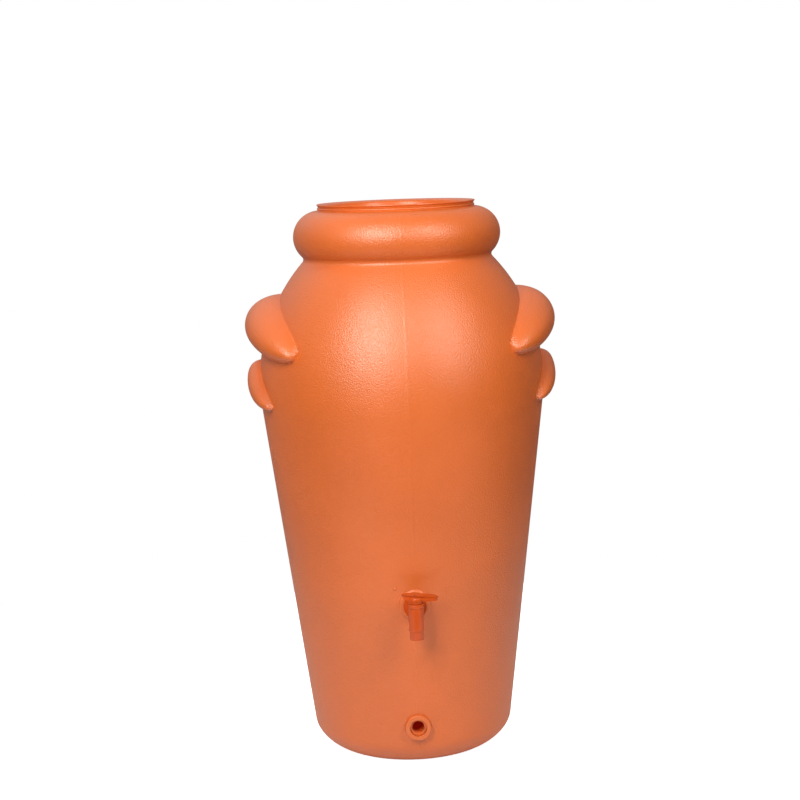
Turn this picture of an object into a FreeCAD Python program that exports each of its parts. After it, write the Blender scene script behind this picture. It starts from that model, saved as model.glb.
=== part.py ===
import FreeCAD, Part
import math
import os

# Rain barrel with a planter top, in millimetres, +Z up.
# The origin is the centre of the flat base. The tap and the drain port face -Y, the ears are on +X and -X,
# and the water inlet is at the back, on +Y.

Vec = FreeCAD.Vector
UP = Vec(0, 0, 1)
BACK = Vec(0, 1, 0)
FRONT = Vec(0, -1, 0)

# Driving dimensions of the shell
HEIGHT = 1100.0              # floor to the top of the planter's lip
WALL = 4.5                   # moulded wall
FOOT_RADIUS = 155.0          # edge of the flat base
FOOT_HEIGHT = 46.0           # height of the rounding round the base
FOOT_HANDLES = (13.0, 23.5)  # pull of that rounding along the base and down the cone
FLARE = math.radians(7.04)   # how far the lower body leans outwards
BELLY_CENTRE = (-78.5, 741.4)
BELLY_RADIUS = 363.6         # belly and shoulder are one arc
RING_CENTRE = (154.0, 1035.5)
RING_RADIUS = 52.2           # bulging ring above the shoulder
CREASE_FILLET = 8.0          # softening where the ring meets the shoulder
MOUTH_RADIUS = 146.0
NECK_RADIUS = 155.2
NECK_TOP = 1093.4
NECK_FILLET = 3.0            # softening between the ring and the bead round the neck
NECK_BEAD = 1.4              # how far the bead stands out
SEAM_ANGLE = 120.0           # where the revolved faces close, away from every feature

# Ears. Each has a foot, a height and a spread to either side of its middle, in degrees, and narrows to a
# blunt tip that lies above its foot, which may arch up in the middle. The three roundness values are powers:
# higher ones make the top, the foot and the plan outline squarer. The outline of a section has two control
# poles, given for the middle and for the tip: how far the pole stands out from the body, and its level as
# a share of the section's height.
UPPER_EAR = {"foot": 796.0, "height": 130.0, "spread": 42.2, "tip_lift": 30.0, "arch": 21.5,
             "roundness": 1.45, "foot_roundness": 3.5, "plan_roundness": 2.6,
             "low_pole": ((65.4, 0.28), (58.0, 0.20)), "high_pole": ((77.9, 0.98), (52.0, 0.80))}
LOWER_EAR = {"foot": 701.5, "height": 94.4, "spread": 25.7, "tip_lift": 12.0, "arch": 0.0,
             "roundness": 1.2, "foot_roundness": 2.5, "plan_roundness": 2.3,
             "low_pole": ((31.0, 0.23), (40.0, 0.08)), "high_pole": ((41.4, 0.98), (34.0, 0.80))}
EAR_SWEEP = [-86, -74, -58, -40, -20, 0, 20, 40, 58, 74, 86]
HOLLOW_SWEEP = [-62, -45, -23, 0, 23, 45, 62]
EAR_DIP = 2.5                # an ear's surface dips this far behind the body's before it ends
EAR_ROOT = 16.0              # how deep an ear's section reaches behind the body's surface

# Tap
TAP_Z = 339.0                # axis of the shank through the wall
TAP_AXIS = Vec(0, -284, 0)   # upright axis of the tap's barrel and lever
BOSS_FACE = -244.0
BOSS_BACK = -228.0
BOSS_RADIUS = 30.0
BOSS_Z = 340.5
HOSE_THREAD = 13.2           # major radius of a 3/4 inch pipe thread
TAP_BORE = 8.0
TAP_FLANGE = 22.0
SHANK_END = -204.0           # inner end of the tap's shank
PLUG_RADIUS = 10.4
PLUG_CHAMBER = 7.0
OUTLET_END = 286.0           # heights of the tap's barrel and plug, from the outlet up
OUTLET_BORE = 9.5
SLEEVE_START = 309.0         # where the sleeve over the plug begins to widen
CAVITY_FLOOR = 320.0
LOWER_SEAL_Z = 326.0
BARREL_SHOULDER = 348.0
UPPER_SEAL_Z = 348.4
BARREL_TOP = 351.0
LIP_UNDERSIDE = 353.1
GLAND_TOP = 355.6
COLLAR_FOOT = 356.6
COLLAR_TOP = 360.4
SQUARE_TOP = 367.5
SQUARE = 11.0                # drive between plug and lever, across its flats
BARREL_NECK = 12.9
GLAND_RADIUS = 15.4
GLAND_NECK = 11.3            # opening for the plug
COLLAR_RADIUS = 13.0
O_RING = 0.97                # radius of the ring's cord
O_RING_GROOVE = 8.45
SCREW_RADIUS = 2.0
SCREW_HEAD = 4.5
SCREW_SEAT = 369.8
SCREW_HOLE_END = 352.0
LEVER_TOP = 373.6            # top of the lever over the tap's axis
RIB_FOOT = 362.0             # underside of the rib under the lever
HUB_TOP = 370.0
LEVER_SLOPE = 0.095
LEVER_TIP = 43.0
LEVER_TAIL = -27.0
LEVER_THICKNESS = 1.8
RUNNING_GAP = 0.05
FIT_GAP = 0.1                # between parts that are screwed or slipped together

# Small moulded pip beside the tap
PIP_X = -37.0
PIP_Z = 373.5

# Drain port
DRAIN_Z = 85.0
DRAIN_FACE = -216.0
DRAIN_BACK = -197.0
DRAIN_RING = 25.2
DRAIN_RECESS = 16.7
DRAIN_RECESS_DEPTH = 7.6     # face of the ring to the face of the bushing
DRAIN_BORE = 12.06           # minor radius of a 3/4 inch female pipe thread
BUSHING_RADIUS = 15.0
BUSHING_FLANGE = 4.0         # thickness
BUSHING_END = -182.0

# Inlet, at the back of the ring
INLET_Z = 1036.0
INLET_FACE = 209.0
INLET_BACK = 195.0
INLET_PAD = 24.0
INLET_RADIUS = 16.0
INLET_FLANGE = 21.0
INLET_BORE = 10.0
NIPPLE_START = 176.0         # inner end
NIPPLE_TIP = 250.0
HOSE_TAIL = 12.7             # 1 inch hose

# Seals and nuts
TAP_GASKET = 2.0             # thicknesses
THIN_GASKET = 1.5
TAP_WASHER = 1.5
DRAIN_WASHER = 1.8
TAP_NUT = 9.0
DRAIN_NUT = 8.0
INLET_NUT = 8.5

# Planter
PLANTER_GAP = 0.3            # under the planter's lip
PLANTER_FLOOR = 900.0
PLANTER_WALL = 3.5
PLANTER_BASE = 4.5           # thickness of its floor
FLOOR_RADIUS = 112.0
THROAT_RADIUS = 142.5        # where it hangs in the barrel's mouth
LIP_RADIUS = 157.3
LIP_FOOT = 154.6
DRAIN_HOLE = 5.0
DRAIN_HOLE_CIRCLE = 62.0

# Screen on the planter's floor
SCREEN_RADIUS = 98.0
SCREEN_THICKNESS = 1.5
SCREEN_PITCH = 15.0
SCREEN_HOLE = 5.0
SCREEN_MARGIN = 12.0         # from the edge to the outermost hole's centre


def crossing(centre_a, radius_a, centre_b, radius_b):
    """Outer crossing point of two circles in the (radius, height) plane."""
    across = centre_b[0] - centre_a[0]
    rise = centre_b[1] - centre_a[1]
    apart = math.hypot(across, rise)
    along = (radius_a ** 2 - radius_b ** 2 + apart ** 2) / (2 * apart)
    aside = math.sqrt(radius_a ** 2 - along ** 2)
    r = centre_a[0] + (along * across + aside * rise) / apart
    z = centre_a[1] + (along * rise - aside * across) / apart
    return r, z


def body_radius(z):
    """Outer radius of the body below the ring, without ears."""
    belly_start = BELLY_CENTRE[1] - BELLY_RADIUS * math.sin(FLARE)
    if z >= belly_start:
        return BELLY_CENTRE[0] + math.sqrt(BELLY_RADIUS ** 2 - (z - BELLY_CENTRE[1]) ** 2)
    widest_cone = BELLY_CENTRE[0] + BELLY_RADIUS * math.cos(FLARE)
    return widest_cone - (belly_start - z) * math.tan(FLARE)


def flat_point(r, z):
    return Vec(r, 0, z)


def arc(centre, radius, start, end):
    """Arc in the (radius, height) plane from start to end, bulging away from the axis."""
    middle_angle = (math.atan2(start[1] - centre[1], start[0] - centre[0])
                    + math.atan2(end[1] - centre[1], end[0] - centre[0])) / 2
    middle = flat_point(centre[0] + radius * math.cos(middle_angle),
                        centre[1] + radius * math.sin(middle_angle))
    return Part.Arc(flat_point(*start), middle, flat_point(*end)).toShape()


def polyline(points):
    """Straight edges through points given as (radius, height)."""
    vectors = [flat_point(*point) for point in points]
    return [Part.LineSegment(a, b).toShape() for a, b in zip(vectors, vectors[1:])]


def revolved(edges):
    """Solid of revolution about +Z of a closed outline."""
    face = Part.Face(Part.Wire(edges))
    return face.revolve(Vec(0, 0, 0), UP, 360)


def turned(points, centre=Vec(0, 0, 0), axis=UP):
    """Turned solid from (radius, distance along the axis) points."""
    solid = revolved(polyline(points + [points[0]]))
    solid.Placement = FreeCAD.Placement(centre, FreeCAD.Rotation(UP, axis))
    return solid


def ring(inner, outer, start, end, centre=Vec(0, 0, 0), axis=UP):
    return turned([(inner, start), (outer, start), (outer, end), (inner, end)], centre, axis)


def rod(radius, start, end, centre=Vec(0, 0, 0), axis=UP):
    return turned([(0, start), (radius, start), (radius, end), (0, end)], centre, axis)


def hex_nut(across_flats, bore, start, end, centre, axis):
    """Hexagonal nut with its corners bevelled on both faces."""
    corner = across_flats / math.sqrt(3)
    bevel = corner - across_flats / 2
    corners = []
    for step in range(7):
        angle = math.radians(60 * step)
        corners.append(Vec(corner * math.cos(angle), corner * math.sin(angle), start))
    prism = Part.Face(Part.makePolygon(corners)).extrude(Vec(0, 0, end - start))
    round_blank = turned([
        (bore, start), (corner - bevel, start), (corner, start + bevel),
        (corner, end - bevel), (corner - bevel, end), (bore, end)])
    nut = prism.common(round_blank)
    nut.Placement = FreeCAD.Placement(centre, FreeCAD.Rotation(UP, axis))
    return nut


# ---------------------------------------------------------------- shell

def body_solid(inset):
    """The body without ears, as a closed solid whose surface lies inset behind the outer one."""
    belly_radius = BELLY_RADIUS - inset
    ring_radius = RING_RADIUS - inset
    cone_top = (BELLY_CENTRE[0] + belly_radius * math.cos(FLARE),
                BELLY_CENTRE[1] - belly_radius * math.sin(FLARE))
    cone_foot = (cone_top[0] - (cone_top[1] - FOOT_HEIGHT) * math.tan(FLARE), FOOT_HEIGHT)
    crease = crossing(BELLY_CENTRE, belly_radius, RING_CENTRE, ring_radius)
    neck_r = MOUTH_RADIUS if inset else NECK_RADIUS + NECK_FILLET
    neck = (neck_r, RING_CENTRE[1] + math.sqrt(ring_radius ** 2 - (neck_r - RING_CENTRE[0]) ** 2))
    foot = Part.BezierCurve()
    along_base, down_cone = FOOT_HANDLES
    foot.setPoles([
        flat_point(FOOT_RADIUS, inset),
        flat_point(FOOT_RADIUS + along_base, inset),
        flat_point(cone_foot[0] - down_cone * math.tan(FLARE), cone_foot[1] - down_cone + inset / 2),
        flat_point(*cone_foot)])
    edges = polyline([(0, inset), (FOOT_RADIUS, inset)])
    edges.append(foot.toShape())
    edges += polyline([cone_foot, cone_top])
    edges.append(arc(BELLY_CENTRE, belly_radius, cone_top, crease))
    edges.append(arc(RING_CENTRE, ring_radius, crease, neck))
    if inset:
        edges += polyline([neck, (neck_r, NECK_TOP + 1), (0, NECK_TOP + 1), (0, inset)])
    else:
        bead_foot = neck[1] + NECK_FILLET / 2
        edges += polyline([neck, (NECK_RADIUS, bead_foot)])
        bead = Part.Arc(flat_point(NECK_RADIUS, bead_foot),
                        flat_point(NECK_RADIUS + NECK_BEAD, (bead_foot + NECK_TOP) / 2),
                        flat_point(NECK_RADIUS, NECK_TOP))
        edges.append(bead.toShape())
        edges += polyline([(NECK_RADIUS, NECK_TOP), (0, NECK_TOP), (0, inset)])
    solid = revolved(edges)
    if not inset:
        crease_edges = [edge for edge in solid.Edges
                        if isinstance(edge.Curve, Part.Circle)
                        and abs(edge.Curve.Center.z - crease[1]) < 0.01]
        solid = solid.makeFillet(CREASE_FILLET, crease_edges)
    solid.rotate(Vec(0, 0, 0), UP, SEAM_ANGLE)
    return solid


def rounding(across, power):
    """Height of a rounded outline at a share of its half width: 1 in the middle and 0 at the end."""
    return (1 - across ** power) ** (1 / power)


def ear_section(ear, sweep, inset, side_angle):
    """Upright closed outline of an ear at one station of its spread."""
    across = abs(math.sin(math.radians(sweep)))
    share = rounding(across, ear["plan_roundness"])
    lift = ear["tip_lift"]
    crown = (ear["height"] - lift) * rounding(across, ear["roundness"])
    arch = ear["arch"] * (1 - across ** 2) ** 2
    foot = ear["foot"] + arch + lift * (1 - rounding(across, ear["foot_roundness"])) + inset
    top = ear["foot"] + lift + crown - inset
    angle = math.radians(side_angle + ear["spread"] * math.sin(math.radians(sweep)))

    def place(z, stands_out):
        r = body_radius(z) - inset + stands_out
        return Vec(r * math.cos(angle), r * math.sin(angle), z)

    def pole(name):
        middle, tip = ear[name]
        reach, level = [a + (b - a) * across ** 2 for a, b in zip(middle, tip)]
        return place(foot + level * (top - foot), share * reach)

    outer = Part.BezierCurve()
    outer.setPoles([place(foot, -EAR_DIP), pole("low_pole"), pole("high_pole"), place(top, -EAR_DIP)])
    rest = [place(top, -EAR_DIP), place(top, -EAR_ROOT), place(foot, -EAR_ROOT), place(foot, -EAR_DIP)]
    edges = [outer.toShape()]
    edges += [Part.LineSegment(a, b).toShape() for a, b in zip(rest, rest[1:])]
    return Part.Wire(edges)


def ear_solid(ear, inset, side_angle):
    sweep = HOLLOW_SWEEP if inset else EAR_SWEEP
    sections = [ear_section(ear, station, inset, side_angle) for station in sweep]
    return Part.makeLoft(sections, True, False)


def rounded_pad(radius, face, back, z, direction, softness):
    """Round moulded pad whose axis is level, with its front edge softened."""
    pad = rod(radius, 0, abs(face - back), Vec(0, back, z), direction)
    front = [edge for edge in pad.Edges
             if isinstance(edge.Curve, Part.Circle) and abs(edge.Curve.Center.y - face) < 0.01]
    return pad.makeFillet(softness, front)


def pip():
    """Small moulded pip on the front, buried in the wall by its foot."""
    wall = -math.sqrt(body_radius(PIP_Z) ** 2 - PIP_X ** 2)
    outline = [(0, 0), (3, 0), (2.8, 4), (1.6, 5.4), (0, 5.4)]
    return turned(outline, Vec(PIP_X, wall + 3, PIP_Z), FRONT)


def through_hole(radius, start, end, z):
    """Level cutter along Y that reaches a little past both ends."""
    return rod(radius, start - 1, end + 1, Vec(0, 0, z), BACK)


def barrel_shell():
    outer = body_solid(0)
    hollow = body_solid(WALL)
    for side_angle in (0, 180):
        for ear in (UPPER_EAR, LOWER_EAR):
            outer = outer.fuse(ear_solid(ear, 0, side_angle))
            hollow = hollow.fuse(ear_solid(ear, WALL, side_angle))
    shell = outer.cut(hollow)
    shell = shell.fuse(rounded_pad(BOSS_RADIUS, BOSS_FACE, BOSS_BACK, BOSS_Z, FRONT, 3.5))
    shell = shell.fuse(rounded_pad(DRAIN_RING, DRAIN_FACE, DRAIN_BACK, DRAIN_Z, FRONT, 1.5))
    shell = shell.fuse(rounded_pad(INLET_PAD, INLET_FACE, INLET_BACK, INLET_Z, BACK, 2))
    shell = shell.fuse(pip())
    shell = shell.cut(through_hole(HOSE_THREAD + FIT_GAP, BOSS_FACE, BOSS_BACK, TAP_Z))
    gasket_seat = DRAIN_FACE + DRAIN_RECESS_DEPTH + BUSHING_FLANGE + THIN_GASKET
    shell = shell.cut(rod(DRAIN_RECESS, DRAIN_FACE - 1, gasket_seat, Vec(0, 0, DRAIN_Z), BACK))
    shell = shell.cut(through_hole(BUSHING_RADIUS + FIT_GAP, gasket_seat, DRAIN_BACK, DRAIN_Z))
    return shell.cut(through_hole(INLET_RADIUS + FIT_GAP, INLET_BACK, INLET_FACE, INLET_Z))


# ---------------------------------------------------------------- planter

def planter_bowl():
    under_lip = NECK_TOP + PLANTER_GAP
    floor_top = PLANTER_FLOOR + PLANTER_BASE
    lip = Part.BezierCurve()
    lip.setPoles([
        flat_point(LIP_FOOT, under_lip + 1.5), flat_point(LIP_FOOT + 0.3, HEIGHT - 4),
        flat_point(LIP_RADIUS, HEIGHT - 1.6)])
    outside = polyline([
        (0, PLANTER_FLOOR), (FLOOR_RADIUS - 8, PLANTER_FLOOR), (FLOOR_RADIUS, PLANTER_FLOOR + 8),
        (THROAT_RADIUS, under_lip - 3), (THROAT_RADIUS + 1, under_lip), (LIP_FOOT, under_lip),
        (LIP_FOOT, under_lip + 1.5)])
    throat_inside = THROAT_RADIUS - PLANTER_WALL
    floor_inside = FLOOR_RADIUS - PLANTER_WALL
    inner_side = polyline([
        (LIP_RADIUS, HEIGHT - 1.6), (LIP_RADIUS - 0.9, HEIGHT), (LIP_FOOT + 0.1, HEIGHT),
        (throat_inside + 2, HEIGHT - 3), (throat_inside, HEIGHT - 6), (floor_inside, floor_top + 6),
        (floor_inside - 6, floor_top), (0, floor_top), (0, PLANTER_FLOOR)])
    bowl = revolved(outside + [lip.toShape()] + inner_side)
    bowl.rotate(Vec(0, 0, 0), UP, SEAM_ANGLE)
    centres = [Vec(0, 0, 0)]
    for step in range(8):
        angle = math.radians(45 * step)
        centres.append(Vec(DRAIN_HOLE_CIRCLE * math.cos(angle), DRAIN_HOLE_CIRCLE * math.sin(angle), 0))
    for centre in centres:
        bowl = bowl.cut(rod(DRAIN_HOLE, PLANTER_FLOOR - 1, floor_top + 1, centre))
    return bowl


def planter_screen():
    """Disc with a hexagonal pattern of holes, lying on the bowl's floor."""
    floor = PLANTER_FLOOR + PLANTER_BASE
    disc = rod(SCREEN_RADIUS, floor, floor + SCREEN_THICKNESS)
    reach = math.ceil(SCREEN_RADIUS / SCREEN_PITCH)
    holes = []
    for row in range(-reach, reach + 1):
        for column in range(-reach, reach + 1):
            x = SCREEN_PITCH * (column + 0.5 * (row % 2))
            y = SCREEN_PITCH * row * math.sqrt(3) / 2
            if math.hypot(x, y) < SCREEN_RADIUS - SCREEN_MARGIN:
                holes.append(rod(SCREEN_HOLE, floor - 1, floor + SCREEN_THICKNESS + 1, Vec(x, y, 0)))
    return disc.cut(holes)


# ---------------------------------------------------------------- tap

def tap_body():
    cavity = PLUG_RADIUS + RUNNING_GAP
    barrel = turned([
        (0, OUTLET_END), (HOSE_THREAD, OUTLET_END), (HOSE_THREAD, OUTLET_END + 16), (14.4, OUTLET_END + 17),
        (14.4, SLEEVE_START), (14.8, BARREL_SHOULDER), (BARREL_NECK, BARREL_SHOULDER),
        (BARREL_NECK, BARREL_TOP),
        (0, BARREL_TOP)], TAP_AXIS)
    flange_front = BOSS_FACE - 6
    flange_back = BOSS_FACE - TAP_GASKET
    arm = turned([
        (0, TAP_AXIS.y), (12.0, TAP_AXIS.y), (12.0, flange_front - 3), (14.5, flange_front),
        (TAP_FLANGE, flange_front), (TAP_FLANGE, flange_back), (HOSE_THREAD, flange_back),
        (HOSE_THREAD, SHANK_END), (0, SHANK_END)], Vec(0, 0, TAP_Z), BACK)
    body = barrel.fuse(arm)
    body = body.cut(ring(BARREL_NECK, GLAND_RADIUS + 0.4, BARREL_SHOULDER, BARREL_TOP + 1, TAP_AXIS))
    body = body.cut(turned([
        (0, OUTLET_END - 1), (OUTLET_BORE, OUTLET_END - 1), (OUTLET_BORE, CAVITY_FLOOR),
        (cavity, CAVITY_FLOOR), (cavity, BARREL_TOP + 1), (0, BARREL_TOP + 1)], TAP_AXIS))
    return body.cut(rod(TAP_BORE, TAP_AXIS.y, SHANK_END + 1, Vec(0, 0, TAP_Z), BACK))


def tap_gland_ring():
    bore = BARREL_NECK + 0.05
    foot = BARREL_SHOULDER + 0.1
    return turned([
        (bore, foot), (GLAND_RADIUS - 0.4, foot), (GLAND_RADIUS, foot + 0.7),
        (GLAND_RADIUS, GLAND_TOP - 1.2), (GLAND_RADIUS - 1.2, GLAND_TOP), (GLAND_NECK, GLAND_TOP),
        (GLAND_NECK, LIP_UNDERSIDE), (bore, LIP_UNDERSIDE)], TAP_AXIS)


def groove(height):
    return [(PLUG_RADIUS, height - 1.2), (O_RING_GROOVE, height - 1.2),
            (O_RING_GROOVE, height + 1.2), (PLUG_RADIUS, height + 1.2)]


def tap_plug():
    outline = [(0, CAVITY_FLOOR + 0.3), (PLUG_RADIUS, CAVITY_FLOOR + 0.3)]
    outline += groove(LOWER_SEAL_Z)
    outline += groove(UPPER_SEAL_Z)
    outline += [
        (PLUG_RADIUS, BARREL_TOP + 0.1), (12.3, BARREL_TOP + 0.1), (12.3, LIP_UNDERSIDE - 0.2),
        (GLAND_NECK - 0.1, LIP_UNDERSIDE - 0.2), (GLAND_NECK - 0.1, COLLAR_FOOT),
        (COLLAR_RADIUS - 0.6, COLLAR_FOOT),
        (COLLAR_RADIUS, COLLAR_FOOT + 0.6), (COLLAR_RADIUS, COLLAR_TOP), (0, COLLAR_TOP)]
    plug = turned(outline, TAP_AXIS)
    square = Part.makeBox(SQUARE, SQUARE, SQUARE_TOP - COLLAR_TOP + 1,
                          TAP_AXIS + Vec(-SQUARE / 2, -SQUARE / 2, COLLAR_TOP - 1))
    plug = plug.fuse(square)
    port_radius = PLUG_CHAMBER - 0.5
    plug = plug.cut(rod(PLUG_CHAMBER, CAVITY_FLOOR, TAP_Z + port_radius + 0.1, TAP_AXIS))
    plug = plug.cut(rod(port_radius, 0, PLUG_RADIUS + 5, Vec(0, TAP_AXIS.y, TAP_Z), Vec(-1, 0, 0)))
    return plug.cut(rod(SCREW_RADIUS + 0.02, SCREW_HOLE_END, SQUARE_TOP + 1, TAP_AXIS))


def tap_o_ring(height):
    centre_radius = PLUG_RADIUS + 0.02 - O_RING
    return Part.makeTorus(centre_radius, O_RING, TAP_AXIS + Vec(0, 0, height))


def lever_top(x):
    return LEVER_TOP - LEVER_SLOPE * x


def tapered_arms(hub, tip, tail):
    """Tall upright solid with the lever's plan outline, round at the hub and at both ends."""
    bottom = BARREL_TOP
    height = 35.0
    solid = rod(hub, bottom, bottom + height, TAP_AXIS)
    for end_radius, reach in ((tip, LEVER_TIP - 5.5), (tail, LEVER_TAIL + 6.5)):
        solid = solid.fuse(rod(end_radius, bottom, bottom + height, TAP_AXIS + Vec(reach, 0, 0)))
        lean = math.asin((hub - end_radius) / abs(reach))
        side = math.copysign(1, reach)
        corners = []
        for radius, x in ((hub, 0), (end_radius, reach)):
            corners.append((x + side * radius * math.sin(lean), radius * math.cos(lean)))
        outline = [Vec(x, y, bottom) for x, y in corners]
        outline += [Vec(x, -y, bottom) for x, y in reversed(corners)]
        outline.append(outline[0])
        web = Part.Face(Part.makePolygon(outline)).extrude(Vec(0, 0, height))
        web.translate(TAP_AXIS)
        solid = solid.fuse(web)
    return solid.removeSplitter()


def side_slab(points):
    """Solid with the given outline in X and Z, wide enough to trim the whole lever."""
    outline = [Vec(x, TAP_AXIS.y - 30, z) for x, z in points + [points[0]]]
    return Part.Face(Part.makePolygon(outline)).extrude(Vec(0, 60, 0))


def lever_plate():
    outline = [
        (LEVER_TAIL - 1, lever_top(LEVER_TAIL) - 3.6), (LEVER_TAIL + 3, lever_top(LEVER_TAIL) - 0.8),
        (LEVER_TAIL + 8, lever_top(LEVER_TAIL + 8)), (LEVER_TIP - 8, lever_top(LEVER_TIP - 8)),
        (LEVER_TIP - 3, lever_top(LEVER_TIP) - 0.6), (LEVER_TIP + 1, lever_top(LEVER_TIP) - 3.4),
        (LEVER_TIP + 1, lever_top(LEVER_TIP) - LEVER_THICKNESS - 2.6),
        (LEVER_TIP - 6, lever_top(LEVER_TIP - 6) - LEVER_THICKNESS),
        (LEVER_TAIL + 6, lever_top(LEVER_TAIL + 6) - LEVER_THICKNESS),
        (LEVER_TAIL - 1, lever_top(LEVER_TAIL) - LEVER_THICKNESS - 2.8)]
    return tapered_arms(10.6, 5.5, 6.5).common(side_slab(outline))


def lever_rib():
    """Stiffening rib under the plate."""
    outline = [
        (LEVER_TAIL + 1, lever_top(LEVER_TAIL) - LEVER_THICKNESS),
        (LEVER_TIP - 1, lever_top(LEVER_TIP) - LEVER_THICKNESS), (LEVER_TIP - 2, RIB_FOOT - 0.8),
        (LEVER_TIP - 5, RIB_FOOT - 2.2), (17, RIB_FOOT - 1.8), (14, RIB_FOOT), (-12, RIB_FOOT),
        (LEVER_TAIL + 3, RIB_FOOT + 3)]
    return tapered_arms(8.4, 3.8, 4.8).common(side_slab(outline))


def tap_lever():
    hub_radius = 13.8
    hub_foot = COLLAR_TOP + 0.2
    hub = turned([
        (0, hub_foot), (hub_radius - 0.6, hub_foot), (hub_radius, hub_foot + 0.6),
        (hub_radius, HUB_TOP - 5.4), (hub_radius - 0.9, HUB_TOP - 2.7), (hub_radius - 2.8, HUB_TOP - 0.8),
        (hub_radius - 5.6, HUB_TOP), (0, HUB_TOP)], TAP_AXIS)
    lever = lever_plate().fuse(lever_rib()).fuse(hub)
    socket = SQUARE + 2 * FIT_GAP
    lever = lever.cut(Part.makeBox(socket, socket, SQUARE_TOP + 0.2 - COLLAR_TOP,
                                   TAP_AXIS + Vec(-socket / 2, -socket / 2, COLLAR_TOP)))
    lever = lever.cut(rod(SCREW_RADIUS + 0.2, COLLAR_TOP, LEVER_TOP + 5, TAP_AXIS))
    return lever.cut(rod(SCREW_HEAD + 0.3, SCREW_SEAT, LEVER_TOP + 5, TAP_AXIS))


def tap_lever_screw():
    point = SCREW_SEAT - 15.8
    screw = turned([
        (0, point), (SCREW_RADIUS - 0.6, point), (SCREW_RADIUS, point + 1.8), (SCREW_RADIUS, SCREW_SEAT),
        (SCREW_HEAD, SCREW_SEAT), (SCREW_HEAD, SCREW_SEAT + 1.6), (SCREW_HEAD - 0.9, SCREW_SEAT + 2.6),
        (0, SCREW_SEAT + 3)], TAP_AXIS)
    slot_length = 5.2
    slot_width = 1.1
    for length, width in ((slot_length, slot_width), (slot_width, slot_length)):
        corner = TAP_AXIS + Vec(-length / 2, -width / 2, SCREW_SEAT + 1.2)
        screw = screw.cut(Part.makeBox(length, width, 3, corner))
    return screw


# ---------------------------------------------------------------- sealed joints through the wall

def wall_ring(inner, outer, start, end, z):
    """Flat ring round a level hole, such as a gasket or a washer."""
    return ring(inner, outer, start, end, Vec(0, 0, z), BACK)


def wall_nut(across_flats, bore, start, end, z):
    return hex_nut(across_flats, bore, start, end, Vec(0, 0, z), BACK)


def drain_bushing():
    front = DRAIN_FACE + DRAIN_RECESS_DEPTH
    flange_radius = DRAIN_RECESS - 0.2
    return turned([
        (DRAIN_BORE, front), (flange_radius, front), (flange_radius, front + BUSHING_FLANGE),
        (BUSHING_RADIUS, front + BUSHING_FLANGE), (BUSHING_RADIUS, BUSHING_END), (DRAIN_BORE, BUSHING_END)],
        Vec(0, 0, DRAIN_Z), BACK)


def inlet_nipple():
    flange = INLET_FACE + THIN_GASKET
    return turned([
        (INLET_BORE, NIPPLE_START), (INLET_RADIUS, NIPPLE_START), (INLET_RADIUS, flange),
        (INLET_FLANGE, flange), (INLET_FLANGE, flange + 4), (HOSE_TAIL, flange + 4),
        (HOSE_TAIL, NIPPLE_TIP - 2), (HOSE_TAIL - 1.2, NIPPLE_TIP), (INLET_BORE, NIPPLE_TIP)],
        Vec(0, 0, INLET_Z), BACK)


def tap_seals():
    """Everything clamped round the tap's shank, from the boss inwards."""
    hole = HOSE_THREAD + FIT_GAP
    washer = BOSS_BACK + TAP_GASKET
    nut = washer + TAP_WASHER
    return {
        "tap_outer_gasket": wall_ring(hole, 20, BOSS_FACE - TAP_GASKET, BOSS_FACE, TAP_Z),
        "tap_inner_gasket": wall_ring(hole, 21, BOSS_BACK, washer, TAP_Z),
        "tap_slip_washer": wall_ring(hole, 21, washer, nut, TAP_Z),
        "tap_lock_nut": wall_nut(36, hole, nut, nut + TAP_NUT, TAP_Z),
    }


def drain_seals():
    hole = BUSHING_RADIUS + FIT_GAP
    gasket = DRAIN_FACE + DRAIN_RECESS_DEPTH + BUSHING_FLANGE
    nut = DRAIN_BACK + DRAIN_WASHER
    return {
        "drain_outer_gasket": wall_ring(hole, DRAIN_RECESS - 0.2, gasket, gasket + THIN_GASKET, DRAIN_Z),
        "drain_slip_washer": wall_ring(hole, 22, DRAIN_BACK, nut, DRAIN_Z),
        "drain_lock_nut": wall_nut(38, hole, nut, nut + DRAIN_NUT, DRAIN_Z),
    }


def inlet_seals():
    hole = INLET_RADIUS + FIT_GAP
    nut = INLET_BACK - THIN_GASKET
    return {
        "inlet_outer_gasket": wall_ring(hole, INLET_FLANGE, INLET_FACE, INLET_FACE + THIN_GASKET, INLET_Z),
        "inlet_inner_gasket": wall_ring(hole, 22, nut, INLET_BACK, INLET_Z),
        "inlet_lock_nut": wall_nut(41, hole, nut - INLET_NUT, nut, INLET_Z),
    }


def build_all():
    nodes = {
        "barrel_shell": barrel_shell(),
        "planter_bowl": planter_bowl(),
        "planter_screen": planter_screen(),
        "tap_body": tap_body(),
        "tap_gland_ring": tap_gland_ring(),
        "tap_plug": tap_plug(),
        "tap_upper_o_ring": tap_o_ring(UPPER_SEAL_Z),
        "tap_lower_o_ring": tap_o_ring(LOWER_SEAL_Z),
        "tap_lever": tap_lever(),
        "tap_lever_screw": tap_lever_screw(),
        "drain_bushing": drain_bushing(),
        "inlet_nipple": inlet_nipple(),
    }
    nodes.update(tap_seals())
    nodes.update(drain_seals())
    nodes.update(inlet_seals())
    return nodes


os.makedirs("parts", exist_ok=True)
for node, shape in build_all().items():
    shape.exportStep("parts/" + node + ".step")
    box = shape.BoundBox
    print(node, "valid" if shape.isValid() else "INVALID", len(shape.Solids), "solid",
          round(shape.Volume / 1000, 2), "cm3",
          [round(value, 1) for value in (box.XMin, box.XMax, box.YMin, box.YMax, box.ZMin, box.ZMax)])
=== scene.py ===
import math

import bmesh
import bpy
import numpy as np
from mathutils import Matrix, Vector


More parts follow.
